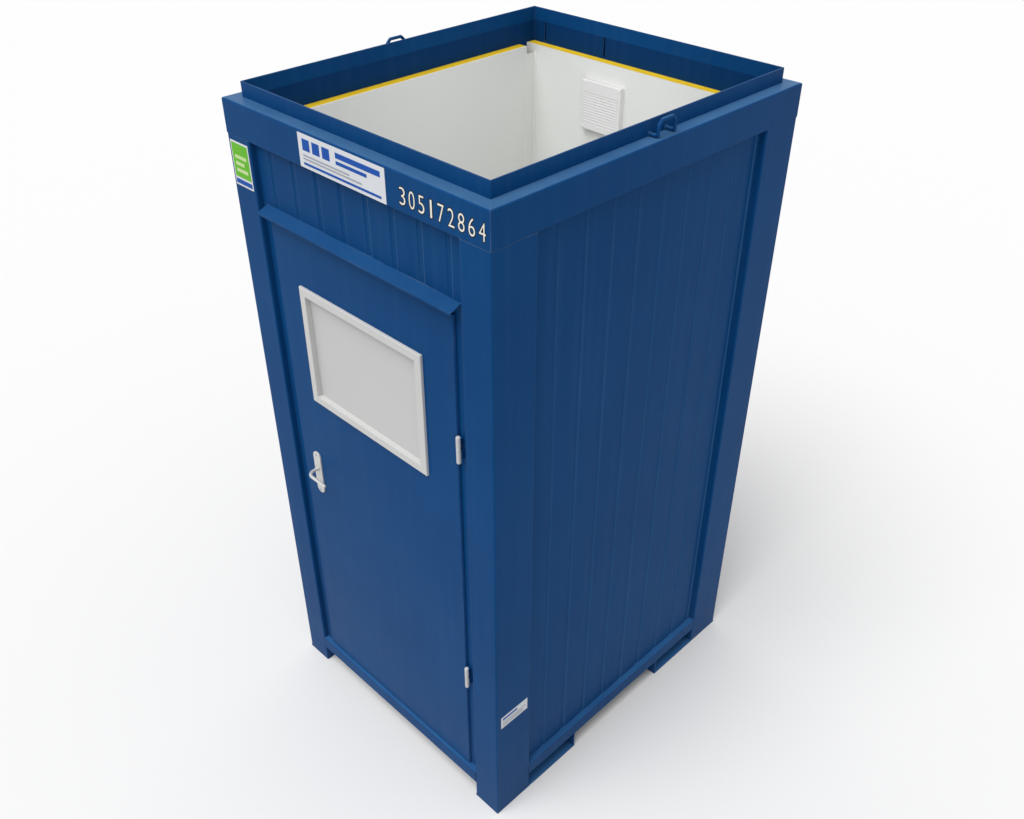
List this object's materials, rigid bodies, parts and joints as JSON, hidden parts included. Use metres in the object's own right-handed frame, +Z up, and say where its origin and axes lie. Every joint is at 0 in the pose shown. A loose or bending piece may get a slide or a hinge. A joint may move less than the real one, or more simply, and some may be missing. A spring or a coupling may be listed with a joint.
{
  "type": "sanitary container",
  "caption": "Small blue toilet cabin in container form with ribbed walls, open top, hinged door with window, and WC, wash basin and fan inside.",
  "frame": {"origin": "on the ground, at the centre of the overall outline in plan", "axes": "+Z up, -Y out of the door, +X to the right as seen facing the door"},
  "size_m": [1.2, 1.447, 2.5468],
  "materials": {
    "blue_paint": "satin blue paint",
    "floor_steel": "grey primer",
    "bare_steel": "zinc plated",
    "floor_wood": "raw panel",
    "floor_sheet": "matt sheet",
    "insulation": "rough foam",
    "lining_white": "white coated board",
    "trim_white": "satin white paint",
    "plastic_white": "semi gloss",
    "plastic_dark": "matt",
    "seal_rubber": "matt",
    "pane": "obscured",
    "handle_metal": "satin",
    "hinge_metal": "light grey",
    "chrome": "polished",
    "ceramic": "white glaze",
    "pipe_grey": "matt",
    "paper": "soft"
  },
  "bodies": {
    "cabin": {"corner_post_front_left": "blue_paint", "corner_post_front_right": "blue_paint", "corner_post_rear_left": "blue_paint", "corner_post_rear_right": "blue_paint", "roof_rail_front": "blue_paint", "roof_rail_rear": "blue_paint", "roof_rails_side": "blue_paint", "roof_collar": "blue_paint", "lifting_eyes": "blue_paint", "floor_sills": "blue_paint", "fork_shoes": "blue_paint", "floor_joists": "floor_steel", "floor_board": "floor_wood", "floor_covering": "floor_sheet", "cladding_sides": "blue_paint", "cladding_rear": "blue_paint", "cladding_front": "blue_paint", "insulation_sides": "insulation", "insulation_rear": "insulation", "insulation_front": "insulation", "lining_sides": "lining_white", "lining_rear": "lining_white", "lining_front": "lining_white", "corner_covers": "trim_white", "door_hood": "blue_paint", "door_frame": "blue_paint", "door_seal": "seal_rubber", "strike_plate": "bare_steel", "hinge_frame_knuckles": "hinge_metal", "hinge_pins": "bare_steel", "fan_cover": "plastic_white", "fan_outlet": "plastic_white", "fan_motor": "plastic_dark", "wc_pan": "ceramic", "seat_hinge": "bare_steel", "cistern": "plastic_white", "waste_pipe": "pipe_grey", "wash_basin": "ceramic", "tap_body": "chrome", "basin_trap": "chrome", "paper_holder": "chrome"},
    "door": {"door_outer_skin": "blue_paint", "door_core": "insulation", "door_inner_skin": "trim_white", "window_frame": "plastic_white", "window_gasket": "seal_rubber", "window_pane": "pane", "hinge_door_knuckles": "hinge_metal", "handle_plates": "handle_metal", "lock_case": "bare_steel"},
    "lever": {"lever_outside": "handle_metal", "lever_inside": "handle_metal"},
    "latch": {"latch_bolt": "bare_steel"},
    "turn": {"thumb_turn": "handle_metal"},
    "bolt": {"dead_bolt": "bare_steel"},
    "impeller": {"fan_impeller": "plastic_dark"},
    "seat": {"wc_seat": "plastic_white"},
    "button": {"flush_button": "chrome"},
    "tap": {"tap_lever": "chrome"},
    "roll": {"paper_roll": "paper"}
  },
  "joints": [
    {"name": "door_swing", "type": "hinge", "parent": "cabin", "child": "door", "pos_m": [0.449, -0.6745, 1.1695], "axis": [0, 0, 1], "range_deg": [0, 165]},
    {"name": "lever_press", "type": "hinge", "parent": "door", "child": "lever", "pos_m": [-0.348, -0.6715, 1.158], "axis": [0, 1, 0], "range_deg": [0, 40], "stiffness_Nm_per_rad": 2, "springref_deg": -17.19},
    {"name": "latch_slide", "type": "slide", "parent": "door", "child": "latch", "axis": [1, 0, 0], "range_m": [0, 0.012]},
    {"name": "thumb_turn", "type": "hinge", "parent": "door", "child": "turn", "pos_m": [-0.348, -0.6165, 1.086], "axis": [0, 1, 0], "range_deg": [0, 90]},
    {"name": "bolt_slide", "type": "slide", "parent": "door", "child": "bolt", "axis": [-1, 0, 0], "range_m": [0, 0.014]},
    {"name": "fan_spin", "type": "hinge", "parent": "cabin", "child": "impeller", "pos_m": [-0.146, 0.6725, 2.254], "axis": [0, 1, 0], "continuous": true},
    {"name": "seat_lift", "type": "hinge", "parent": "cabin", "child": "seat", "pos_m": [0, 0.4055, 0.549], "axis": [-1, 0, 0], "range_deg": [0, 97]},
    {"name": "flush_push", "type": "slide", "parent": "cabin", "child": "button", "axis": [0, 0, -1], "range_m": [0, 0.006], "stiffness_N_per_m": 300, "springref_m": -0.005},
    {"name": "tap_turn", "type": "hinge", "parent": "cabin", "child": "tap", "pos_m": [0.47, -0.2265, 1.085], "axis": [0, 0, 1], "range_deg": [0, 90]},
    {"name": "roll_spin", "type": "hinge", "parent": "cabin", "child": "roll", "pos_m": [-0.446, 0.1735, 0.793], "axis": [0, 1, 0], "continuous": true}
  ],
  "couplings": [
    {"joint": "latch_slide", "follows": "lever_press", "m_per_rad": 0.01718},
    {"joint": "thumb_turn", "follows": "bolt_slide", "rad_per_m": 112.19}
  ]
}
